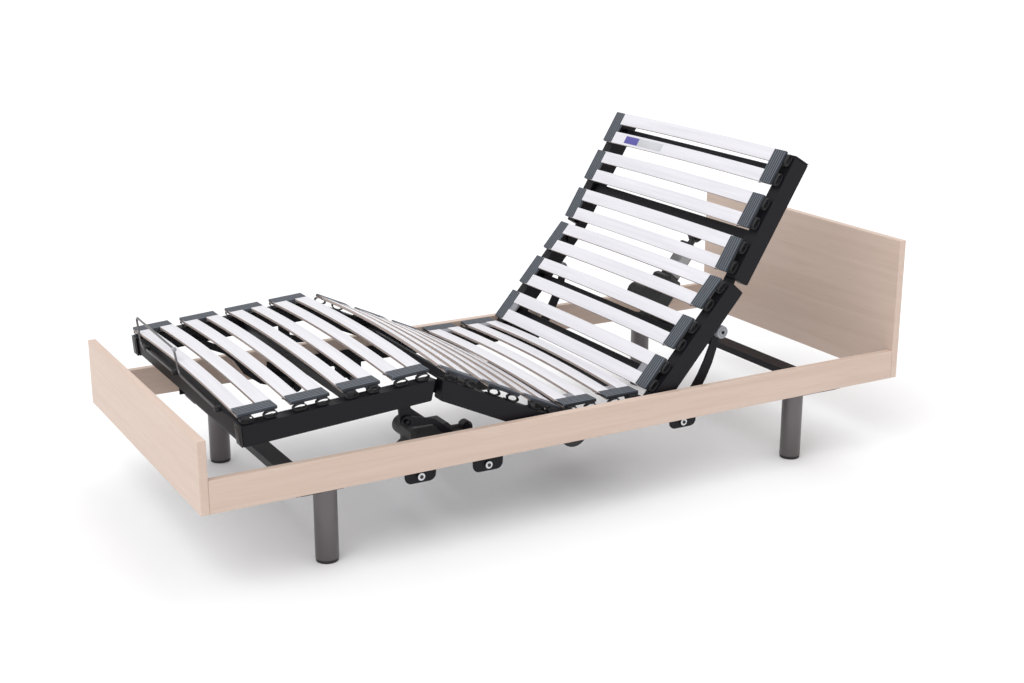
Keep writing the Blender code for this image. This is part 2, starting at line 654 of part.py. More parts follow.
def build_motor(name, x0, rod_end, spot, parent, tail, cut, play, can_at=(0.042, 0.115, -0.004, 0.027)):
    """A linear drive along X: a gear housing with its profile, and the push rod with its slotted eye."""
    y, z = spot
    travel = DRIVE_TRAVEL[name]
    half = MOTOR_WIDTH / 2
    x1 = rod_end - travel - EYE_RADIUS - 0.005
    guide_start = x0 + GEARBOX_LENGTH - 0.008
    body = block((x0, y - half, z - MOTOR_HALF_HEIGHT), (x0 + GEARBOX_LENGTH, y + half, z + MOTOR_HALF_HEIGHT))
    along, reach, rise, radius = can_at
    can = rod((x0 + along, y, z + rise), (x0 + along, y + reach, z + rise), radius, 24)
    guide = block((guide_start, y - PROFILE_HALF_WIDTH, z - PROFILE_HALF_HEIGHT),
                  (x1, y + PROFILE_HALF_WIDTH, z + PROFILE_HALF_HEIGHT))
    bore = rod((x1 - ROD_ENGAGED - travel - 0.004, y, z), (x1 + 0.02, y, z), ROD_RADIUS + 0.0016)
    finish(f"{name}_motor", body, "motor_plastic", parent, (can, guide, *tail), (bore, *cut), bevel=0.010)
    push = rod((x1 - ROD_ENGAGED, y, z), (rod_end - 0.006, y, z), ROD_RADIUS)
    low, high = (rod_end - play[0], z - play[1]), (rod_end + play[0], z + play[1])
    eye = plate(link_outline(low, high, EYE_RADIUS, EYE_RADIUS), y - 0.012, y + 0.012)
    slot = plate(link_outline(low, high, PIN_RADIUS + 0.0014, PIN_RADIUS + 0.0014), y - 0.03, y + 0.03)
    finish(f"{name}_push_rod", push, "plated_steel", parent, (eye,), (slot,))


def build_seat_drive():
    """The back drive, hung from the seat's cross tube."""
    x = SEAT_FIRST_X
    z = BACK_SHAFT[1] + BACK_LEVER[1] + 0.001
    hanger = block((x - 0.016, BACK_DRIVE_Y - 0.020, z), (x + 0.016, BACK_DRIVE_Y + 0.020, AXIS_Z - 0.013 - GAP))
    spot = (BACK_DRIVE_Y, z)
    rod_end = BACK_SHAFT[0] + BACK_LEVER[0]
    build_motor("back", x - 0.024, rod_end, spot, None, (hanger,), (), (0, 0.0065), (0.080, -0.115, 0.027, 0.045))


def build_leg_drive():
    """The leg drive, its tail clamped on the right stub axle."""
    x, z = STUB_AXLE
    height = LEG_SHAFT[1] + LEG_LEVER[1] - 0.0016
    outline = link_outline((x, z), (x + 0.050, height - 0.010), 0.024, 0.020)
    tail = plate(outline, LEG_DRIVE_Y - 0.015, LEG_DRIVE_Y + 0.015)
    hole = rod((x, LEG_DRIVE_Y - 0.03, z), (x, LEG_DRIVE_Y + 0.03, z), SHAFT_RADIUS + GAP)
    spot = (LEG_DRIVE_Y, height)
    build_motor("leg", x + 0.030, LEG_SHAFT[0] + LEG_LEVER[0], spot, None, (tail,), (hole,), (0, 0.003))


def build_head_drive(back):
    """The head drive, which swings on the back section and pushes the head section's pin."""
    tilt = math.radians(HEAD_TILT)
    reach = NECK_X - HIP_X + HEAD_PIN[0] * math.cos(tilt) - HEAD_PIN[1] * math.sin(tilt) - HEAD_DRIVE_AXIS[0]
    rise = HEAD_PIN[0] * math.sin(tilt) + HEAD_PIN[1] * math.cos(tilt) - HEAD_DRIVE_AXIS[1]
    lean = math.degrees(math.atan2(rise, reach))
    axis = make_frame("head_drive_axis", back, *HEAD_DRIVE_AXIS, -lean)
    y = HEAD_DRIVE_Y
    tail = plate(link_outline((0, 0), (0.05, 0), 0.013, 0.013), y - 0.012, y + 0.012)
    hole = rod((0, y - 0.03, 0), (0, y + 0.03, 0), PIN_RADIUS + HOLE_PLAY)
    build_motor("head", 0.026, math.hypot(reach, rise), (y, 0), axis, (tail,), (hole,), (0.0022, 0))


def build_control():
    """The control box, hung under the seat tube."""
    x, top = SEAT_FIRST_X, AXIS_Z - 0.013 - GAP
    box = block((x - 0.080, 0.060, top - 0.040), (x + 0.080, 0.200, top))
    finish("control_box", box, "motor_plastic", bevel=0.006)


def build_strut():
    """The bent calf strut on the left, from its stub axle to the calf rail."""
    base = (STUB_AXLE[0] - 0.060, STUB_AXLE[1] + 0.022)
    path = [STUB_AXLE, base, (-0.600, 0.228), (-0.645, 0.262), (-0.672, 0.305), (-0.7045, 0.333), STRUT_PIN]
    y0 = RAIL_Y - 0.013
    bar = plate(band_outline(path, (0.044, 0.030, 0.022, 0.020, 0.020, 0.018, 0.021)), y0, y0 + ARM_THICK)
    eye = rod((STUB_AXLE[0], y0 - 0.01, STUB_AXLE[1]), (STUB_AXLE[0], y0 + 0.02, STUB_AXLE[1]), SHAFT_RADIUS + HOLE_PLAY)
    slot_end = (STRUT_PIN[0] + STRUT_SLOT[0], STRUT_PIN[1] + STRUT_SLOT[1])
    holes = [eye, plate(link_outline(STRUT_PIN, slot_end, 0.0072, 0.0072), y0 - 0.01, y0 + 0.02)]
    finish("calf_strut", bar, "black_steel", cut=holes)


def build_gear(back):
    """Shafts, arms, stub axles, drives, strut and control box."""
    build_leg_lift()
    build_back_lift()
    build_stub_axles()
    build_strut()
    build_seat_drive()
    build_leg_drive()
    build_head_drive(back)
    build_control()


def main():
    """Build every section and the gear."""
    build_surround()
    for end in LEG_X:
        build_beam(end)
        for side, sign in SIDES.items():
            build_leg(end, side, sign)
    for side, sign in SIDES.items():
        build_carrier(side, sign)
    meshes = (slat_twin_mesh(CAP_INNER), slat_twin_mesh(WIDE_CAP_INNER))
    seat = make_frame("seat_frame", None, 0, AXIS_Z, 0)
    build_seat(seat, meshes)
    thigh = make_frame("thigh_hinge", None, THIGH_X, AXIS_Z, THIGH_ANGLE)
    build_thigh(thigh, meshes)
    calf = make_frame("knee_hinge", thigh, KNEE_X - THIGH_X, 0, -KNEE_FOLD)
    build_calf(calf, meshes)
    back = make_frame("hip_hinge", None, HIP_X, AXIS_Z, -BACK_ANGLE)
    build_back(back, meshes)
    head = make_frame("neck_hinge", back, NECK_X - HIP_X, 0, -HEAD_TILT)
    build_head(head, meshes)
    build_gear(back)


main()
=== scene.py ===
"""An adjustable slatted bed base, dressed for a studio view.

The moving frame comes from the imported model.  This script gives every steel, wood and plastic node its finish
and replaces the plain slat pairs, legs, rollers and mattress stop with detailed pieces.
"""

from __future__ import annotations

import json
import logging
import math
from dataclasses import dataclass, field
from enum import Enum
from typing import Sequence

import bpy
import numpy as np
from mathutils import Matrix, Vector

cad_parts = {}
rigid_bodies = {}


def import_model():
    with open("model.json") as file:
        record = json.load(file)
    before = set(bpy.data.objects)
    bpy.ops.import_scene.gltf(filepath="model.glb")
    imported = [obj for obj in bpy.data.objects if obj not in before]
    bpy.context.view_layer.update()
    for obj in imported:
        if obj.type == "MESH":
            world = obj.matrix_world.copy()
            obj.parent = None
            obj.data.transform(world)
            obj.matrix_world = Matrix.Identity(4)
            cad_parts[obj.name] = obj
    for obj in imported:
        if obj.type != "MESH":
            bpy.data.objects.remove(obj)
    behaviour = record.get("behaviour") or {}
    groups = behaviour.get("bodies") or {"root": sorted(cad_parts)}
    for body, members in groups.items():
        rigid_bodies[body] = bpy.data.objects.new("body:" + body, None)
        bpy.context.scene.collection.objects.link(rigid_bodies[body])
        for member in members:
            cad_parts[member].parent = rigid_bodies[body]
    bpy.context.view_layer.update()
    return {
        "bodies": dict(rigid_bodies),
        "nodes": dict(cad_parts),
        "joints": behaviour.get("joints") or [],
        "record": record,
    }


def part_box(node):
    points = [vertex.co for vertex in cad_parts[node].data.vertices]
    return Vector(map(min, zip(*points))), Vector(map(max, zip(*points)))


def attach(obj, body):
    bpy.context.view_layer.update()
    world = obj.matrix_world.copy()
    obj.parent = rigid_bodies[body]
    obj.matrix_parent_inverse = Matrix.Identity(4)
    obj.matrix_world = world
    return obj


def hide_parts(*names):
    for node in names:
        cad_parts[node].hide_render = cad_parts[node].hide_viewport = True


LOG = logging.getLogger("bed_base")
SIDES = (1.0, -1.0)
SHAFT_HEAD_FACE = 0.4521          # how far out the heads of the tongues' shafts reach
TONGUE_SHAFTS = ((-0.494, 0.195), (-0.300, 0.190), (0.314, 0.200))   # x and z of each tongue's shaft
THIGH_TURN = 25.2                 # degrees about +Y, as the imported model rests
KNEE_FOLD = 29.1
BACK_TURN = -48.9
HEAD_TILT = 9.8
CALF_OVERHANG = 0.050             # from the last twin's middle to the rails' ends
HEAD_OVERHANG = 0.048
STOP_OFFSET = 0.0055              # from the calf rails' ends to the mattress stop's wire
PLATE_Y = 0.200                   # the name plate's middle
WHITE = (1.0, 1.0, 1.0, 1.0)
Socket = bpy.types.NodeSocket
Finishes = dict[str, bpy.types.Material]
SMOOTH_ANGLE = math.radians(38.0)


class Slot(Enum):
    """The record's material slots."""

    WOOD = "surround_wood"
    FRAME = "frame_steel"
    LEG = "leg_steel"
    SLATS = "slats"
    BRIGHT = "bright_steel"
    DRIVE = "drive_housing"
    ROLLER = "roller_plastic"


class Grain(Enum):
    """The way a board's grain runs, as the stretch of its pattern along X, Y and Z."""

    LENGTHWAYS = (1.3, 34.0, 34.0)
    CROSSWAYS = (34.0, 1.3, 34.0)


# ---------------------------------------------------------------- finishes


@dataclass(frozen=True)
class Finish:
    """A plain coat: one colour, a roughness, and a fine surface grain.

    Attributes:
        name: the material's name.
        colour: linear base colour.
        roughness: mean roughness.
        metallic: share of metal.
        grain: how many grains to a metre.
        relief: strength of the grain's bump.
        mottle: how far the colour varies over the surface.
        gloss: level of the plain reflection.
    """

    name: str
    colour: tuple[float, float, float]
    roughness: float
    metallic: float = 0.0
    grain: float = 900.0
    relief: float = 0.06
    mottle: float = 0.12
    gloss: float = 0.5

    def build(self) -> bpy.types.Material:
        """Makes the material.

        Returns:
            The node material, whose grain is noise on object coordinates.
        """
        nodes = MaterialNodes(self.name)
        shader = nodes.shader
        shader.inputs["Metallic"].default_value = self.metallic
        shader.inputs["Specular IOR Level"].default_value = self.gloss
        place = nodes.object_place((1.0, 1.0, 1.0))
        cloud = nodes.noise(place, 6.0, 3.0)
        nodes.tint(cloud, self.shade(1.0 - self.mottle), self.shade(1.0 + self.mottle))
        fine = nodes.noise(place, self.grain, 2.0)
        nodes.spread(fine, self.roughness - 0.05, self.roughness + 0.07, "Roughness")
        nodes.bump(fine, self.relief, 0.0004)
        return nodes.material

    def shade(self, factor: float) -> tuple[float, float, float, float]:
        """The base colour times a factor."""
        r, g, b = (min(1.0, c * factor) for c in self.colour)
        return (r, g, b, 1.0)


class MaterialNodes:
    """A small helper that wires one Principled material."""

    def __init__(self, name: str) -> None:
        """Starts a material with its shader.

        Args:
            name: the material's name.
        """
        self.material = bpy.data.materials.new(name)
        self.material.use_nodes = True
        self.tree = self.material.node_tree
        self.shader = self.tree.nodes["Principled BSDF"]

    def link(self, source: Socket, target: Socket) -> None:
        """Joins two sockets."""
        self.tree.links.new(source, target)

    def object_place(self, scale: Sequence[float]) -> Socket:
        """Object coordinates, stretched."""
        return self.mapped(self.tree.nodes.new("ShaderNodeTexCoord").outputs["Object"], scale)

    def map_place(self, layer: str, scale: Sequence[float]) -> Socket:
        """A piece's own map, stretched."""
        node = self.tree.nodes.new("ShaderNodeUVMap")
        node.uv_map = layer
        return self.mapped(node.outputs["UV"], scale)

    def mapped(self, source: Socket, scale: Sequence[float]) -> Socket:
        """A stretched copy of a coordinate."""
        node = self.tree.nodes.new("ShaderNodeMapping")
        node.inputs["Scale"].default_value = scale
        self.link(source, node.inputs["Vector"])
        return node.outputs["Vector"]

    def noise(self, place: Socket, scale: float, detail: float, twist: float = 0.0) -> Socket:
        """Cloudy noise of a scale and detail."""
        node = self.tree.nodes.new("ShaderNodeTexNoise")
        node.inputs["Scale"].default_value = scale
        node.inputs["Detail"].default_value = detail
        node.inputs["Distortion"].default_value = twist
        self.link(place, node.inputs["Vector"])
        return node.outputs["Fac"]

    def wave(self, place: Socket, scale: float, twist: float, axis: str) -> Socket:
        """Parallel bands along an axis, bent by some noise."""
        node = self.tree.nodes.new("ShaderNodeTexWave")
        node.bands_direction = axis
        node.inputs["Scale"].default_value = scale
        node.inputs["Distortion"].default_value = twist
        node.inputs["Detail"].default_value = 2.0
        node.inputs["Detail Scale"].default_value = 0.35
        self.link(place, node.inputs["Vector"])
        return node.outputs["Fac"]

    def tint(self, factor: Socket, low: Sequence[float], high: Sequence[float],
             edges: tuple[float, float] = (0.3, 0.7), target: Socket | None = None) -> Socket:
        """Colours the surface from low to high as factor rises between two edges.

        Returns:
            The ramp's colour socket.
        """
        ramp = self.tree.nodes.new("ShaderNodeValToRGB")
        first, last = ramp.color_ramp.elements
        first.position, last.position = edges
        first.color, last.color = low, high
        self.link(factor, ramp.inputs["Fac"])
        self.link(ramp.outputs["Color"], target or self.shader.inputs["Base Color"])
        return ramp.outputs["Color"]

    def spread(self, factor: Socket, low: float, high: float, target: str) -> None:
        """Maps factor to a range on one of the shader's inputs."""
        node = self.tree.nodes.new("ShaderNodeMapRange")
        node.inputs["To Min"].default_value = low
        node.inputs["To Max"].default_value = high
        self.link(factor, node.inputs["Value"])
        self.link(node.outputs["Result"], self.shader.inputs[target])

    def bump(self, height: Socket, strength: float, distance: float) -> None:
        """Bumps the surface by a height."""
        node = self.tree.nodes.new("ShaderNodeBump")
        node.inputs["Strength"].default_value = strength
        node.inputs["Distance"].default_value = distance
        self.link(height, node.inputs["Height"])
        self.link(node.outputs["Normal"], self.shader.inputs["Normal"])


@dataclass(frozen=True)
class BeechFinish:
    """Whitened beech: long soft figure, short dark flecks and a satin lacquer.

    Attributes:
        name: the material's name.
        grain: the way the grain runs.
        pale: colour between the figure.
        deep: colour of the figure.
        fleck: how far a fleck darkens the colour.
    """

    name: str
    grain: Grain
    pale: tuple[float, float, float, float] = (0.600, 0.472, 0.398, 1.0)
    deep: tuple[float, float, float, float] = (0.552, 0.424, 0.352, 1.0)
    fleck: tuple[float, float, float, float] = (0.93, 0.915, 0.90, 1.0)

    def build(self) -> bpy.types.Material:
        """Makes the material.

        Returns:
            Stretched noise for the figure and finer stretched noise for flecks, which also bump the lacquer.
        """
        nodes = MaterialNodes(self.name)
        stretch = self.grain.value
        place = nodes.object_place(stretch)
        figure = nodes.noise(place, 1.1, 6.0, 0.8)
        nodes.tint(figure, self.deep, self.pale, (0.32, 0.66))
        flecks = nodes.noise(nodes.object_place(tuple(v * 7.0 for v in stretch)), 1.4, 3.0)
        holder = nodes.tree.nodes.new("ShaderNodeMixRGB")
        base = nodes.shader.inputs["Base Color"].links[0].from_socket
        tone = nodes.tint(flecks, self.fleck, WHITE, (0.30, 0.48), holder.inputs["Color2"])
        holder.inputs["Fac"].default_value = 0.65
        holder.blend_type = "MULTIPLY"
        nodes.link(base, holder.inputs["Color1"])
        nodes.link(tone, holder.inputs["Color2"])
        nodes.link(holder.outputs["Color"], nodes.shader.inputs["Base Color"])
        nodes.spread(flecks, 0.52, 0.40, "Roughness")
        nodes.bump(flecks, 0.10, 0.0003)
        return nodes.material


@dataclass(frozen=True)
class SlatFaceFinish:
    """White foil over laminated beech, with faint streaks along the slat."""

    name: str = "slat_face"

    def build(self) -> bpy.types.Material:
        """Makes the material."""
        nodes = MaterialNodes(self.name)
        place = nodes.object_place((90.0, 2.2, 90.0))
        streak = nodes.noise(place, 1.0, 4.0)
        nodes.tint(streak, (0.610, 0.603, 0.640, 1.0), (0.685, 0.678, 0.715, 1.0))
        nodes.spread(streak, 0.36, 0.28, "Roughness")
        nodes.bump(streak, 0.05, 0.0003)
        nodes.shader.inputs["Coat Weight"].default_value = 0.15
        return nodes.material


@dataclass(frozen=True)
class SlatEdgeFinish:
    """The slat's bare edge, where thin beech layers show.

    Attributes:
        layer: thickness of one layer.
        wave_rate: bands that the wave node makes in a metre at scale 1.
    """

    name: str = "slat_edge"
    layer: float = 0.0013
    wave_rate: float = 3.2

    def build(self) -> bpy.types.Material:
        """Makes the material: bands across the map's second axis, one to a layer."""
        nodes = MaterialNodes(self.name)
        place = nodes.map_place("across", (0.02, 1.0, 1.0))
        bands = nodes.wave(place, 1.0 / (2.0 * self.layer) / self.wave_rate, 0.4, "Y")
        nodes.tint(bands, (0.27, 0.215, 0.195, 1.0), (0.47, 0.39, 0.355, 1.0), (0.25, 0.75))
        nodes.shader.inputs["Roughness"].default_value = 0.6
        nodes.bump(bands, 0.15, 0.0003)
        return nodes.material


@dataclass(frozen=True)
class CapFinish:
    """Slate-blue rubber with a moulded wavy wood-grain relief. Its colour is painted darker in the relief's
    valleys as painted shade and lighter on its ridges as painted light.

    Attributes:
        name: the material's name.
        low: painted shade, the colour in the relief's valleys.
        high: painted light, the colour on its ridges.
        strength: strength of the relief.
    """

    name: str
    low: tuple[float, float, float, float]
    high: tuple[float, float, float, float]
    strength: float

    def build(self) -> bpy.types.Material:
        """Makes the material: bent bands along the cap, on the cap's own map, with painted shade in the
        relief's valleys and painted light on its ridges.
        """
        nodes = MaterialNodes(self.name)
        waves = nodes.wave(nodes.map_place("plan", (8.0, 34.0, 1.0)), 1.0, 6.0, "Y")
        # the colour follows the bump's bands: painted shade in the valleys, painted light on the ridges
        nodes.tint(waves, self.low, self.high, (0.2, 0.8))
        nodes.spread(waves, 0.62, 0.48, "Roughness")
        nodes.bump(waves, self.strength, 0.0022)
        return nodes.material


# ---------------------------------------------------------------- surfaces


def rounded_section(half_a: float, half_b: float, radius: float, steps: int = 4) -> np.ndarray:
    """A rectangle with round corners; each corner is its centre plus radius times (cos, sin).

    Args:
        half_a: half the width.
        half_b: half the height.
        radius: corner radius.
        steps: pieces to a corner.

    Returns:
        An (n, 2) outline.
    """
    turn = np.linspace(0.0, np.pi / 2, steps + 1)
    quarter = np.arange(4)[:, None] * np.pi / 2
    angle = (turn[None, :] + quarter).ravel()
    sign_a = np.repeat([1.0, -1.0, -1.0, 1.0], steps + 1)
    sign_b = np.repeat([1.0, 1.0, -1.0, -1.0], steps + 1)
    return np.stack([sign_a * (half_a - radius) + radius * np.cos(angle),
                     sign_b * (half_b - radius) + radius * np.sin(angle)], axis=1)


def round_outline(radius: float, count: int = 16) -> np.ndarray:
    """A circle of that radius as an (n, 2) outline."""
    angle = np.arange(count) * 2.0 * np.pi / count
    return radius * np.stack([np.cos(angle), np.sin(angle)], axis=1)


def block_rings(low: Sequence[float], high: Sequence[float], radius: float, steps: int = 3) -> np.ndarray:
    """A box with every edge rounded, as outlines stacked along Y.

    Near each end the outline shrinks by radius (1 - sin t) while it moves in by radius (1 - cos t).

    Args:
        low: lowest corner.
        high: highest corner.
        radius: edge radius.
        steps: pieces to a corner.

    Returns:
        Rings of shape (stations, points, 3).
    """
    low_a, high_a = np.asarray(low, float), np.asarray(high, float)
    centre, half = (low_a + high_a) / 2, (high_a - low_a) / 2
    t = np.linspace(0.0, np.pi / 2, steps + 1)
    inset = radius * (1.0 - np.sin(t))
    y = np.concatenate([low_a[1] + radius * (1.0 - np.cos(t)), high_a[1] - radius * (1.0 - np.cos(t[::-1]))])
    inset = np.concatenate([inset, inset[::-1]])
    unit = rounded_section(half[0], half[2], radius, steps)
    direction = rounded_section(1.0, 1.0, 1.0, steps)
    ring = unit[None, :, :] - inset[:, None, None] * direction[None, :, :] * 0.999
    rings = np.empty((len(y), len(unit), 3))
    rings[..., 0] = centre[0] + ring[..., 0]
    rings[..., 1] = y[:, None]
    rings[..., 2] = centre[2] + ring[..., 1]
    return rings


def lathe_rings(profile: Sequence[tuple[float, float]], centre: Sequence[float], along_y: bool,
                count: int) -> np.ndarray:
    """A profile of (radius, height) turned about a line through centre, along Y or else Z."""
    radius, height = np.asarray(profile, float).T
    angle = np.arange(count) * 2.0 * np.pi / count
    rings = np.empty((len(radius), count, 3))
    rings[..., 0] = radius[:, None] * np.cos(angle)
    rings[..., 1] = height[:, None] if along_y else radius[:, None] * np.sin(angle)
    rings[..., 2] = radius[:, None] * np.sin(angle) if along_y else height[:, None]
    return rings + np.asarray(centre, float)


def soft_path(corners: Sequence[Sequence[float]], radius: float, steps: int = 8) -> np.ndarray:
    """A polyline with each inner corner replaced by a quadratic arc that starts radius before it.

    The arc is (1-t)^2 A + 2t(1-t) B + t^2 C, with B the corner.

    Args:
        corners: points of the polyline.
        radius: how far from a corner its arc starts.
        steps: pieces to an arc.

    Returns:
        Points of shape (n, 3).
    """
    points = np.asarray(corners, float)
    t = np.linspace(0.0, 1.0, steps + 1)[:, None]
    out = [points[:1]]
    for before, corner, after in zip(points[:-2], points[1:-1], points[2:]):
        a_dir, c_dir = before - corner, after - corner
        a = corner + a_dir * min(0.5, radius / np.linalg.norm(a_dir))
        c = corner + c_dir * min(0.5, radius / np.linalg.norm(c_dir))
        out.append((1 - t) ** 2 * a + 2 * t * (1 - t) * corner + t ** 2 * c)
    out.append(points[-1:])
    return np.concatenate(out)


def sweep_rings(path: np.ndarray, outline: np.ndarray, normal: Sequence[float]) -> np.ndarray:
    """An outline carried along a path: each point is P + a n + b (n x T), with T the path's direction."""
    tangent = np.gradient(path, axis=0)
    tangent /= np.linalg.norm(tangent, axis=1)[:, None]
    n = np.asarray(normal, float)[None, :] - (tangent @ np.asarray(normal, float))[:, None] * tangent
    n /= np.linalg.norm(n, axis=1)[:, None]
    side = np.cross(n, tangent)
    return path[:, None, :] + outline[None, :, :1] * n[:, None, :] + outline[None, :, 1:] * side[:, None, :]


@dataclass
class Surface:
    """Closed shells gathered into one mesh.

    Attributes:
        points: vertex arrays.
        faces: face index lists.
        slots: material index of each face.
        maps: named coordinate pairs of each vertex.
    """

    points: list[np.ndarray] = field(default_factory=list)
    faces: list[list[int]] = field(default_factory=list)
    slots: list[int] = field(default_factory=list)
    maps: dict[str, list[np.ndarray]] = field(default_factory=dict)
    count: int = 0

    def add(self, rings: np.ndarray, slot: int | np.ndarray = 0, closed: bool = False,
            maps: dict[str, np.ndarray] | None = None) -> None:
        """Adds a tube of rings, with a flat face on each open end.

        Args:
            rings: points of shape (stations, points, 3).
            slot: material index, or one for each step round the ring.
            closed: whether the last ring meets the first.
            maps: named (stations, points, 2) coordinates.
        """
        stations, around = rings.shape[:2]
        i = np.arange(stations if closed else stations - 1)[:, None]
        j = np.arange(around)[None, :]
        i2, j2 = (i + 1) % stations, (j + 1) % around
        here, there = i * around, i2 * around
        quads = np.stack(np.broadcast_arrays(here + j, here + j2, there + j2, there + j), -1)
        quads = quads.reshape(-1, 4)
        flat = rings.reshape(-1, 3)
        a, b, c, d = (flat[quads[:, k]] - flat.mean(0) for k in range(4))
        volume = np.einsum("ij,ij->", a, np.cross(b, c)) + np.einsum("ij,ij->", a, np.cross(c, d))
        ends = [] if closed else [np.arange(around)[::-1], np.arange(around) + (stations - 1) * around]
        if volume < 0:
            quads = quads[:, ::-1]
            ends = [e[::-1] for e in ends]
        self.faces += (quads + self.count).tolist() + [(e + self.count).tolist() for e in ends]
        per_step = np.broadcast_to(np.asarray(slot), (around,))
        self.slots += np.tile(per_step, len(i)).tolist() + [int(per_step[0])] * len(ends)
        for name in set(self.maps) | set(maps or {}):
            store = self.maps.setdefault(name, [np.zeros((self.count, 2))])
            given = (maps or {}).get(name)
            store.append(np.zeros((len(flat), 2)) if given is None else given.reshape(-1, 2))
        self.points.append(flat)
        self.count += len(flat)

    def build(self, name: str, materials: Sequence[bpy.types.Material]) -> bpy.types.Object:
        """Makes the object, smooth except at sharp edges.

        Args:
            name: the piece's name.
            materials: its materials, in slot order.

        Returns:
            The object, linked to the scene.
        """
        mesh = bpy.data.meshes.new(name)
        mesh.from_pydata(np.concatenate(self.points).tolist(), [], self.faces)
        mesh.polygons.foreach_set("material_index", np.asarray(self.slots, np.int32))
        mesh.polygons.foreach_set("use_smooth", np.ones(len(self.faces), bool))
        corners = np.empty(len(mesh.loops), np.int32)
        mesh.loops.foreach_get("vertex_index", corners)
        for layer, values in self.maps.items():
            uv = mesh.uv_layers.new(name=layer)
            uv.data.foreach_set("uv", np.concatenate(values)[corners].astype(np.float32).ravel())
        mesh.set_sharp_from_angle(angle=SMOOTH_ANGLE)
        for material in materials:
            mesh.materials.append(material)
        mesh.update()
        piece = bpy.data.objects.new(name, mesh)
        bpy.context.scene.collection.objects.link(piece)
        return piece


def place_piece(piece: bpy.types.Object, body: str, slot: Slot, *nodes: str) -> bpy.types.Object:
    """Sets a piece on its body and hides the nodes it stands for."""
    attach(piece, body)
    if nodes:
        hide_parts(*nodes)
    LOG.info("%s rides on %s", piece.name, body)
    return piece


# ---------------------------------------------------------------- the base's own frames


@dataclass(frozen=True)
class SectionFrame:
    """A section's own axes: x along its rails, z out of them, from its hinge.

    Attributes:
        body: the body that the section's pieces ride on.
        x: the hinge's place along the bed.
        z: the hinge's height.
        turn: the section's turn about +Y, in degrees.
    """

    body: str
    x: float
    z: float
    turn: float

    def to_world(self, points: np.ndarray) -> np.ndarray:
        """Turns local points about the hinge: x' = x cos + z sin, z' = z cos - x sin."""
        c, s = math.cos(math.radians(self.turn)), math.sin(math.radians(self.turn))
        out = np.array(points, float)
        out[..., 0] = self.x + points[..., 0] * c + points[..., 2] * s
        out[..., 2] = self.z - points[..., 0] * s + points[..., 2] * c
        return out

    def middle_of(self, node: bpy.types.Object) -> float:
        """The local x of the middle of a node.

        Args:
            node: a CAD node.

        Returns:
            The middle of its extent along the section.
        """
        co = np.empty(len(node.data.vertices) * 3)
        node.data.vertices.foreach_get("co", co)
        co = co.reshape(-1, 3)
        c, s = math.cos(math.radians(self.turn)), math.sin(math.radians(self.turn))
        local = (co[:, 0] - self.x) * c - (co[:, 2] - self.z) * s
        return float(local.min() + local.max()) / 2


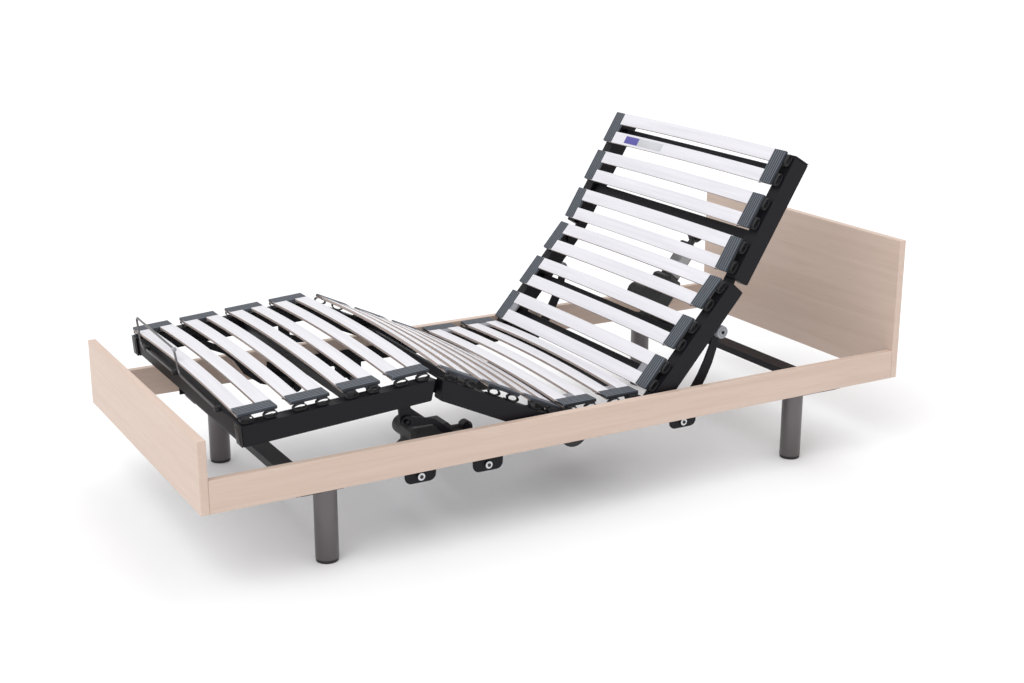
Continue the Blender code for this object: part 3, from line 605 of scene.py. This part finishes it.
@dataclass
class SlatTwin:
    """Two cambered slats in a pair of rubber caps, on oval rubber springs.

    Attributes:
        half_rail: half the rail's depth.
        cap_top: height of the cap above the rail's top.
        cap_depth: depth of the cap.
        cap_length: length of the cap along the rail.
        cap_outer: the cap's outer edge.
        cap_inner: the cap's inner edge.
        collar: width of the paler strip inside the cap, or nothing.
        slat_width: width of a slat.
        slat_depth: thickness of a slat.
        camber: rise of the slat's middle.
        spacing: distance between the two slats' middles.
        sink: how far a slat's end lies below the cap's top.
        tuck: how far a slat's end stays inside the cap.
        ring_reach: half the length of a spring's ring.
        ring_y: the rings' middle, across the bed.
        ring_share: the rings' spacing as a share of the slats'.
        pad: half the length of the pads over and under a ring.
    """

    half_rail: float = 0.0265
    cap_top: float = 0.027
    cap_depth: float = 0.0095
    cap_length: float = 0.102
    cap_outer: float = 0.424
    cap_inner: float = 0.373
    collar: float = 0.0
    slat_width: float = 0.038
    slat_depth: float = 0.008
    camber: float = 0.014
    spacing: float = 0.064
    sink: float = 0.003
    tuck: float = 0.006
    ring_reach: float = 0.0172
    ring_y: float = 0.4250
    ring_share: float = 0.94
    pad: float = 0.0125

    @property
    def top(self) -> float:
        """Height of the cap's top above the rail's middle."""
        return self.half_rail + self.cap_top

    def face_height(self, y: np.ndarray) -> np.ndarray:
        """Height of a slat's face over the rail's middle: camber (1 - t^2) above its ends, t = y / half."""
        half = self.cap_outer - self.tuck
        t = y / half
        return self.top - self.sink + self.camber * (1.0 - t * t)

    def slats(self, middle: float, frame: SectionFrame) -> Surface:
        """The two slats, each a rounded strip along the cambered line.

        Args:
            middle: local x of the twin.
            frame: the section's axes.

        Returns:
            The slats' surface, foil on slot 0 and bare edge on slot 1.
        """
        surface = Surface()
        outline = rounded_section(self.slat_width / 2, self.slat_depth / 2, 0.0011, 3)
        y = np.linspace(-1.0, 1.0, 49) * (self.cap_outer - self.tuck)
        height = self.face_height(y) - self.slat_depth / 2
        middle_b = (outline[:, 1] + np.roll(outline[:, 1], -1)) / 2
        slot = np.where(np.abs(middle_b) > self.slat_depth / 2 - 0.0004, 0, 1)
        for side in (-0.5, 0.5):
            rings = np.empty((len(y), len(outline), 3))
            rings[..., 0] = middle + side * self.spacing + outline[None, :, 0]
            rings[..., 1] = y[:, None]
            rings[..., 2] = height[:, None] + outline[None, :, 1]
            across = np.stack([rings[..., 1], np.broadcast_to(outline[None, :, 1], rings.shape[:2])], -1)
            surface.add(frame.to_world(rings), slot, maps={"across": across})
        return surface

    def caps(self, middle: float, frame: SectionFrame) -> Surface:
        """The two caps, each a rounded block that closes over the slats' ends, with its collar on slot 1."""
        surface = Surface()
        for sign in SIDES:
            inner = self.cap_inner
            under = self.top - self.cap_depth
            rings = self.side_block(sign, inner, self.cap_outer, middle, self.cap_length / 2, under, self.top,
                                    0.0026)
            surface.add(frame.to_world(rings), 0, maps={"plan": rings[..., :2].copy()})
            if self.collar:
                rings = self.side_block(sign, inner - self.collar, inner + 0.001, middle,
                                        self.cap_length / 2 - 0.002, under, self.top - 0.0009, 0.0018)
                surface.add(frame.to_world(rings), 1, maps={"plan": rings[..., :2].copy()})
            for offset in (-0.5, 0.5):
                rings = self.side_block(sign, inner - 0.006, inner + 0.004, middle + offset * self.spacing,
                                        self.slat_width / 2 + 0.002, under + 0.0008, under + 0.003, 0.0010)
                surface.add(frame.to_world(rings), 0, maps={"plan": rings[..., :2].copy()})
        return surface

    def side_block(self, sign: float, inner: float, outer: float, middle: float, half: float, low: float,
                   high: float, radius: float) -> np.ndarray:
        """Rings of a rounded block at one side of the section."""
        y0, y1 = sorted((sign * inner, sign * outer))
        return block_rings((middle - half, y0, low), (middle + half, y1, high), radius)

    def springs(self, middle: float, frame: SectionFrame) -> Surface:
        """The oval rings under the caps, each between a pad on the rail and a pad under the cap.

        A ring is an ellipse band: centre + (a cos u, b sin u), thick along its normal and wide along Y.
        """
        surface = Surface()
        low, high = self.half_rail + 0.0005, self.top - self.cap_depth + 0.0012
        centre, rise = (low + high) / 2, (high - low) / 2 - 0.0012
        u = np.arange(36) * 2 * np.pi / 36
        normal = np.stack([rise * np.cos(u), self.ring_reach * np.sin(u)], 1)
        normal /= np.linalg.norm(normal, axis=1)[:, None]
        band = rounded_section(0.0009, 0.0065, 0.0008, 3)
        for sign in SIDES:
            for offset in (-0.5, 0.5):
                foot = middle + offset * self.spacing * self.ring_share
                rings = np.empty((len(u), len(band), 3))
                rings[..., 0] = foot + self.ring_reach * np.cos(u)[:, None] + band[None, :, 0] * normal[:, :1]
                rings[..., 1] = sign * self.ring_y + band[None, :, 1]
                rings[..., 2] = centre + rise * np.sin(u)[:, None] + band[None, :, 0] * normal[:, 1:]
                surface.add(frame.to_world(rings), closed=True)
                pads = ((0.404, self.half_rail + 0.0003, low + 0.0016), (0.396, high - 0.0016, high + 0.0006))
                for inner, low_z, high_z in pads:
                    outer = self.ring_y + 0.005
                    rings = self.side_block(sign, inner, outer, foot, self.pad, low_z, high_z, 0.0006)
                    surface.add(frame.to_world(rings))
        return surface


@dataclass
class SlatField:
    """All the slat twins of the five sections.

    Attributes:
        frames: each section's axes and how many twins it has.
        wide: nodes whose caps have a paler collar.
    """

    frames: dict[str, tuple[SectionFrame, int]]
    wide: tuple[str, ...] = ("seat_slats_1", "seat_slats_2", "back_slats_1")

    def build(self, nodes: dict[str, bpy.types.Object], finishes: Finishes) -> None:
        """Builds every twin and sets it on its section.

        Args:
            nodes: the CAD nodes by name.
            finishes: the materials by name.
        """
        for section, (frame, count) in self.frames.items():
            for i in range(1, count + 1):
                name = f"{section}_slats_{i}"
                twin = SlatTwin(collar=0.028 if name in self.wide else 0.0)
                middle = frame.middle_of(nodes[name])
                wood = (finishes["slat_face"], finishes["slat_edge"])
                slats = twin.slats(middle, frame).build(f"{name}_wood", wood)
                place_piece(slats, frame.body, Slot.SLATS, name)
                caps = twin.caps(middle, frame).build(f"{name}_caps", (finishes["cap"], finishes["collar"]))
                place_piece(caps, frame.body, Slot.SLATS)
                springs = twin.springs(middle, frame).build(f"{name}_springs", (finishes["black_rubber"],))
                place_piece(springs, frame.body, Slot.SLATS)


@dataclass
class Legs:
    """The four round legs with their plates and black glides.

    Attributes:
        radius: radius of the tube.
        glide: height of the glide.
        plate: thickness of the plate under the beam.
        plate_edge: from the tube's middle to the plate's edge nearest the bed's middle.
    """

    radius: float = 0.030
    glide: float = 0.008
    plate: float = 0.004
    plate_edge: float = 0.035

    def build(self, finishes: Finishes) -> None:
        """Builds each leg over its CAD node.

        Args:
            finishes: the materials by name.
        """
        for end in ("foot", "head"):
            for side, sign in (("left", 1.0), ("right", -1.0)):
                name = f"leg_{end}_{side}"
                low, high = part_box(name)
                y = (low.y + high.y) / 2
                x = self.tube_middle(end, low.x, high.x)
                top = high.z
                tube = Surface()
                r = self.radius
                foot, weld = self.glide, top - self.plate
                profile = [(r - 0.0018, foot + 0.0003), (r - 0.0006, foot + 0.0006), (r, foot + 0.0016),
                           (r, weld - 0.0012), (r + 0.0008, weld - 0.0006), (r + 0.0008, weld)]
                tube.add(lathe_rings(profile, (x, y, 0.0), False, 96))
                tube.add(block_rings((low.x, low.y, weld), (high.x, high.y, top), 0.0012))
                place_piece(tube.build(f"{name}_tube", (finishes["leg"],)), "base", Slot.LEG, name)
                glide = Surface()
                g = r - 0.0012
                profile = [(g - 0.0020, 0.0), (g - 0.0006, 0.0005), (g, 0.0018), (g, foot - 0.0005),
                           (g - 0.001, foot)]
                glide.add(lathe_rings(profile, (x, y, 0.0), False, 96))
                place_piece(glide.build(f"{name}_glide", (finishes["black_rubber"],)), "base", Slot.DRIVE)

    def tube_middle(self, end: str, low: float, high: float) -> float:
        """The tube's middle, near the end of the plate that looks to the bed's middle."""
        return high - self.plate_edge if end == "foot" else low + self.plate_edge


@dataclass
class Rollers:
    """The grey rollers on the back arms.

    Attributes:
        bore: radius of the pin's hole cover.
        recess: how far the web lies in from each face.
    """

    bore: float = 0.0062
    recess: float = 0.003

    def build(self, finishes: Finishes) -> None:
        """Turns each roller: a soft tread, a recessed web and a hub, with the same on its other face."""
        for side in ("left", "right"):
            name = f"back_roller_{side}"
            low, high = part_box(name)
            centre = ((low.x + high.x) / 2, (low.y + high.y) / 2, (low.z + high.z) / 2)
            half, r = (high.y - low.y) / 2, (high.z - low.z) / 2
            web = half - self.recess
            face = [(self.bore, half), (self.bore + 0.003, half), (self.bore + 0.0034, web),
                    (r - 0.0045, web), (r - 0.004, half - 0.0004), (r - 0.0016, half),
                    (r - 0.0003, half - 0.0014), (r, web)]
            profile = face + [(radius, -height) for radius, height in face[::-1]]
            wheel = Surface()
            wheel.add(lathe_rings(profile, centre, True, 72))
            piece = wheel.build(f"{name}_wheel", (finishes["grey_plastic"],))
            place_piece(piece, f"roller_{side}", Slot.ROLLER, name)


@dataclass
class Fasteners:
    """Washers and screw heads on the carriers' tongues.

    Attributes:
        washer: radius of a washer.
        head: radius of a screw's head.
    """

    washer: float = 0.0100
    head: float = 0.0050

    def screw(self, x: float, y: float, z: float, sign: float) -> list[np.ndarray]:
        """A washer and a domed head that look along sign Y.

        Returns:
            The rings of the washer and of the head.
        """
        w, h = self.washer, self.head
        washer = [(w - 0.0005, 0.0), (w, 0.0004), (w, 0.0010), (w - 0.0006, 0.0014)]
        head = [(h, 0.0012), (h, 0.0026), (h - 0.0006, 0.0032), (h * 0.5, 0.0034), (h * 0.46, 0.0020)]
        turned = [[(r, sign * t) for r, t in profile] for profile in (washer, head)]
        return [lathe_rings(profile, (x, y, z), True, 40) for profile in turned]

    def build(self, places: Sequence[tuple[float, float]], face: float, finishes: Finishes) -> None:
        """Sets a screw on each tongue.

        Args:
            places: x and z of the shafts' ends.
            face: how far out the washers sit.
            finishes: the materials by name.
        """
        for side, sign in (("left", 1.0), ("right", -1.0)):
            surface = Surface()
            for x, z in places:
                for slot, rings in enumerate(self.screw(x, sign * face, z, sign)):
                    surface.add(rings, slot)
            screws = surface.build(f"tongue_screws_{side}", (finishes["bright"], finishes["dull_steel"]))
            place_piece(screws, "base", Slot.BRIGHT)


@dataclass
class MattressStop:
    """The bent wire that keeps the mattress from sliding, with its knob and its clips.

    Attributes:
        wire: radius of the wire.
        foot: height of the wire's feet over the rail's middle.
        height: height of the loop's top.
        bend: how far from a corner a bend starts.
    """

    wire: float = 0.0030
    foot: float = 0.0245
    height: float = 0.1025
    bend: float = 0.016

    def build(self, frame: SectionFrame, x: float, finishes: Finishes) -> None:
        """Sweeps the wire and adds its knob and clips.

        Args:
            frame: the calf section's axes.
            x: local x of the wire.
            finishes: the materials by name.
        """
        corners = [(x, 0.045, self.foot), (x, 0.337, self.foot), (x, 0.350, self.height),
                   (x, 0.020, self.height - 0.004), (x, 0.000, self.foot + 0.010), (x, -0.290, self.foot)]
        path = soft_path(corners, self.bend)
        wire = Surface()
        wire.add(frame.to_world(sweep_rings(path, round_outline(self.wire, 20), (1.0, 0.0, 0.0))))
        loop = wire.build("mattress_stop_wire", (finishes["wire"],))
        place_piece(loop, frame.body, Slot.BRIGHT, "mattress_stop")
        fittings = Surface()
        for y in (0.052, -0.280, 0.300):
            fittings.add(frame.to_world(block_rings((x - 0.0045, y - 0.009, self.foot - 0.006),
                                                    (x + 0.012, y + 0.009, self.foot + 0.0055), 0.0018)))
        profile = [(0.0035, -0.006), (0.0055, -0.005), (0.0062, 0.0), (0.0055, 0.005), (0.0035, 0.006)]
        knob = lathe_rings(profile, (x, 0.018, self.height - 0.0045), True, 28)
        fittings.add(frame.to_world(knob), 1)
        plastics = (finishes["black_plastic"], finishes["grey_plastic"])
        place_piece(fittings.build("mattress_stop_clips", plastics), frame.body, Slot.DRIVE)


@dataclass
class EndPlugs:
    """The plastic plugs in the open ends of the section rails.

    Attributes:
        half_depth: half the rail's depth.
        inner: the rail's inner face.
        outer: the rail's outer face.
    """

    half_depth: float = 0.0265
    inner: float = 0.400
    outer: float = 0.440

    def build(self, frame: SectionFrame, section: str, end: float, direction: float,
              finishes: Finishes) -> None:
        """Sets a ribbed plug on both rails' ends.

        Args:
            frame: the section's axes.
            section: name of the section.
            end: local x of the rails' ends.
            direction: the way that the ends look, 1 or -1.
            finishes: the materials by name.
        """
        surface = Surface()
        for sign in SIDES:
            y0, y1 = sorted((sign * self.inner, sign * self.outer))
            for inset, thick in ((0.0, 0.0032), (0.006, 0.0048)):
                x0, x1 = sorted((end, end + direction * thick))
                surface.add(frame.to_world(block_rings((x0, y0 + inset, -self.half_depth + inset),
                                                       (x1, y1 - inset, self.half_depth - inset), 0.0014)))
        plugs = surface.build(f"{section}_rail_plugs", (finishes["black_plastic"],))
        place_piece(plugs, frame.body, Slot.DRIVE)


@dataclass
class DriveSleeve:
    """The drawn aluminium profile that guides the head drive's push rod.

    Attributes:
        start: where it leaves the gear housing, from the drive's axis.
        end: where it ends.
        collar: length of the black collar.
        half_width: half its width across the bed.
        half_height: half its height.
        y: its middle, across the bed.
    """

    start: float = 0.148
    end: float = 0.2575
    collar: float = 0.010
    half_width: float = 0.0220
    half_height: float = 0.0200
    y: float = -0.100

    def build(self, frame: SectionFrame, finishes: Finishes) -> None:
        """Makes the profile, with a black collar at its outer end.

        Args:
            frame: the drive's axes.
            finishes: the materials by name.
        """
        surface = Surface()
        joint = self.end - self.collar
        for x0, x1, grow, slot in ((self.start, joint, 0.0, 0), (joint, self.end, 0.0015, 1)):
            w, h = self.half_width + grow, self.half_height + grow
            surface.add(frame.to_world(block_rings((x0, self.y - w, -h), (x1, self.y + w, h), 0.004)), slot)
        sleeve = surface.build("head_drive_sleeve", (finishes["aluminium"], finishes["black_plastic"]))
        place_piece(sleeve, frame.body, Slot.DRIVE)


@dataclass
class NamePlate:
    """A small blank two-tone plate on a slat.

    Attributes:
        length: length along the slat.
        width: width across it.
        pale_share: how much of its length is pale.
    """

    length: float = 0.205
    width: float = 0.024
    pale_share: float = 0.63

    def build(self, frame: SectionFrame, twin: SlatTwin, x: float, y: float, finishes: Finishes) -> None:
        """Lays the plate on the slat's top.

        Args:
            frame: the section's axes.
            twin: the twin whose slat carries it.
            x: local x of the slat's middle.
            y: the plate's middle across the bed.
            finishes: the materials by name.
        """
        surface = Surface()
        half = self.length / 2
        split = y + self.length * (self.pale_share - 0.5)
        outline = rounded_section(self.width / 2, 0.0010, 0.0005, 2)
        for y0, y1, slot in ((y - half, split, 0), (split, y + half, 1)):
            along = np.linspace(y0, y1, 13)
            top = twin.face_height(along)
            rings = np.empty((len(along), len(outline), 3))
            rings[..., 0] = x + outline[None, :, 0]
            rings[..., 1] = along[:, None]
            rings[..., 2] = top[:, None] + outline[None, :, 1]
            surface.add(frame.to_world(rings), slot)
        piece = surface.build("head_plate", (finishes["plate_pale"], finishes["plate_violet"]))
        place_piece(piece, frame.body, Slot.SLATS)


# ---------------------------------------------------------------- the studio


@dataclass(frozen=True)
class Studio:
    """A pale floor, soft light and the camera.

    Attributes:
        eye: the camera's place.
        yaw: its heading from +Y towards +X, in degrees.
        dip: how far it looks down, in degrees.
        roll: its roll, in radians.
        lens: focal length for a 36 mm wide sensor.
    """

    eye: tuple[float, float, float] = (-2.0973, -3.7405, 1.6473)
    yaw: float = 29.56
    dip: float = 16.71
    roll: float = 0.0012
    lens: float = 54.61

    def build(self) -> None:
        """Sets up the floor, the lights and the camera."""
        self.floor()
        self.lights()
        self.camera()

    def floor(self) -> None:
        """Lays a wide pale floor."""
        half = 60.0
        mesh = bpy.data.meshes.new("floor")
        corners = [(-half, -half, 0), (half, -half, 0), (half, half, 0), (-half, half, 0)]
        mesh.from_pydata(corners, [], [(0, 1, 2, 3)])
        floor = bpy.data.objects.new("floor", mesh)
        bpy.context.scene.collection.objects.link(floor)
        finish = Finish("floor", (0.86, 0.86, 0.87), 0.75, grain=40.0, relief=0.0, mottle=0.005)
        mesh.materials.append(finish.build())

    def lights(self) -> None:
        """A white surround, a broad sun from the front left and a weaker one from behind."""
        scene = bpy.context.scene
        world = bpy.data.worlds.new("studio")
        world.use_nodes = True
        world.node_tree.nodes["Background"].inputs["Color"].default_value = (1.0, 1.0, 1.0, 1.0)
        world.node_tree.nodes["Background"].inputs["Strength"].default_value = 0.85
        scene.world = world
        suns = (("key", 1.5, 50.0, 40.0, -62.0), ("fill", 0.5, 70.0, 30.0, 120.0))
        for name, energy, spread, tilt, heading in suns:
            sun = bpy.data.lights.new(name, "SUN")
            sun.energy = energy
            sun.angle = math.radians(spread)
            lamp = bpy.data.objects.new(name, sun)
            lamp.rotation_euler = (math.radians(tilt), 0.0, math.radians(heading))
            scene.collection.objects.link(lamp)
        scene.view_settings.view_transform = "Standard"
        scene.view_settings.look = "None"
        scene.view_settings.exposure = 0.0

    def camera(self) -> None:
        """Aims the camera: forward is (cos dip sin yaw, cos dip cos yaw, -sin dip)."""
        yaw, dip = math.radians(self.yaw), math.radians(self.dip)
        forward = np.array([math.cos(dip) * math.sin(yaw), math.cos(dip) * math.cos(yaw), -math.sin(dip)])
        right = np.array([math.cos(yaw), -math.sin(yaw), 0.0])
        up = np.cross(right, forward)
        c, s = math.cos(self.roll), math.sin(self.roll)
        side, top = c * right + s * up, c * up - s * right
        data = bpy.data.cameras.new("camera")
        data.sensor_fit = "HORIZONTAL"
        data.sensor_width = 36.0
        data.lens = self.lens
        data.clip_end = 200.0
        camera = bpy.data.objects.new("camera", data)
        rows = np.eye(4)
        rows[:3, 0], rows[:3, 1], rows[:3, 2], rows[:3, 3] = side, top, -forward, self.eye
        camera.matrix_world = Matrix(rows.tolist())
        bpy.context.scene.collection.objects.link(camera)
        bpy.context.scene.camera = camera


# ---------------------------------------------------------------- putting it together


def make_finishes() -> Finishes:
    """Makes every material.

    Returns:
        The materials by name.
    """
    return {
        "beech_long": BeechFinish("beech_long", Grain.LENGTHWAYS).build(),
        "beech_cross": BeechFinish("beech_cross", Grain.CROSSWAYS).build(),
        "frame": Finish("anthracite_coat", (0.0040, 0.0037, 0.0062), 0.46, grain=1100.0, relief=0.08,
                        gloss=0.22).build(),
        "leg": Finish("leg_coat", (0.150, 0.138, 0.140), 0.36, 0.9, 1400.0, 0.05, mottle=0.04).build(),
        "slat_face": SlatFaceFinish().build(),
        "slat_edge": SlatEdgeFinish().build(),
        # the caps' and collars' two colours are painted shade in the relief's valleys and painted light on its
        # ridges
        "cap": CapFinish("cap_rubber", (0.014, 0.018, 0.025, 1), (0.092, 0.108, 0.136, 1), 1.0).build(),
        "collar": CapFinish("collar_rubber", (0.20, 0.20, 0.225, 1), (0.24, 0.24, 0.265, 1), 0.05).build(),
        "black_rubber": Finish("black_rubber", (0.012, 0.012, 0.014), 0.5, 0.0, 700.0, 0.1).build(),
        "black_plastic": Finish("black_plastic", (0.014, 0.014, 0.015), 0.42, 0.0, 800.0, 0.12).build(),
        "housing": Finish("drive_housing", (0.011, 0.011, 0.012), 0.45, 0.0, 500.0, 0.2).build(),
        "grey_plastic": Finish("grey_plastic", (0.30, 0.31, 0.33), 0.42, 0.0, 700.0, 0.1).build(),
        "bright": Finish("zinc_steel", (0.62, 0.62, 0.64), 0.30, 1.0, 300.0, 0.02).build(),
        "wire": Finish("nickel_wire", (0.17, 0.165, 0.165), 0.30, 1.0, 300.0, 0.02).build(),
        "dull_steel": Finish("dull_steel", (0.060, 0.058, 0.060), 0.38, 0.8, 500.0, 0.06).build(),
        "aluminium": Finish("brushed_aluminium", (0.33, 0.33, 0.335), 0.42, 0.9, 600.0, 0.08).build(),
        "plate_pale": Finish("plate_pale", (0.47, 0.48, 0.50), 0.35).build(),
        "plate_violet": Finish("plate_violet", (0.07, 0.06, 0.30), 0.35).build(),
    }


def dress_nodes(frame: dict, finishes: Finishes) -> None:
    """Gives each CAD node that stays its material.

    Args:
        frame: the loaded frame.
        finishes: the materials by name.
    """
    by_slot = {Slot.FRAME: "frame", Slot.LEG: "leg", Slot.BRIGHT: "dull_steel", Slot.DRIVE: "housing",
               Slot.ROLLER: "grey_plastic", Slot.SLATS: "slat_face"}
    for entry in frame["record"]["subparts"]:
        node = frame["nodes"][entry["node"]]
        board = "beech_long" if entry["node"].startswith("side_rail") else "beech_cross"
        name = by_slot.get(Slot(entry["material_slot"]), board)
        node.data.materials.clear()
        node.data.materials.append(finishes[name])


def section_frames(frame: dict) -> dict[str, tuple[SectionFrame, int]]:
    """Each section's axes from its hinge, and how many slat twins it has.

    Args:
        frame: the loaded frame.

    Returns:
        The frames and counts by section.
    """
    hinges = {j["name"]: j["pos_m"] for j in frame["joints"] if "pos_m" in j}
    thigh, knee, back, head = (hinges[n] for n in ("thigh_hinge", "knee_hinge", "back_hinge", "head_hinge"))
    return {
        "seat": (SectionFrame("base", 0.0, back[2], 0.0), 2),
        "thigh": (SectionFrame("thigh", thigh[0], thigh[2], THIGH_TURN), 3),
        "calf": (SectionFrame("calf", knee[0], knee[2], THIGH_TURN - KNEE_FOLD), 4),
        "back": (SectionFrame("back", back[0], back[2], BACK_TURN), 3),
        "head": (SectionFrame("head", head[0], head[2], BACK_TURN - HEAD_TILT), 3),
    }


def drive_frame(frame: dict) -> SectionFrame:
    """The head drive's axes, from the joint that it swings on towards the joint that its rod slides on.

    Args:
        frame: the loaded frame.

    Returns:
        The axes, x along the push rod.
    """
    joints = {j["name"]: j for j in frame["joints"]}
    swing, slide = joints["head_drive_swing"], joints["head_rod_slide"]
    x, _, z = slide["axis"]
    return SectionFrame("head_drive", swing["pos_m"][0], swing["pos_m"][2], -math.degrees(math.atan2(z, x)))


def main() -> None:
    """Builds the whole scene."""
    logging.basicConfig(level=logging.INFO, format="%(message)s")
    for item in list(bpy.data.objects):
        bpy.data.objects.remove(item, do_unlink=True)
    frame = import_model()
    Studio().build()
    finishes = make_finishes()
    dress_nodes(frame, finishes)
    frames = section_frames(frame)
    SlatField(frames).build(frame["nodes"], finishes)
    Legs().build(finishes)
    Rollers().build(finishes)
    Fasteners().build(TONGUE_SHAFTS, SHAFT_HEAD_FACE, finishes)
    calf, head = frames["calf"][0], frames["head"][0]
    calf_end = calf.middle_of(frame["nodes"]["calf_slats_1"]) - CALF_OVERHANG
    MattressStop().build(calf, calf_end - STOP_OFFSET, finishes)
    EndPlugs().build(calf, "calf", calf_end, -1.0, finishes)
    head_twin = head.middle_of(frame["nodes"]["head_slats_3"])
    EndPlugs().build(head, "head", head_twin + HEAD_OVERHANG, 1.0, finishes)
    DriveSleeve().build(drive_frame(frame), finishes)
    twin = SlatTwin()
    NamePlate().build(head, twin, head_twin - twin.spacing / 2, PLATE_Y, finishes)


if __name__ == "__main__":
    main()
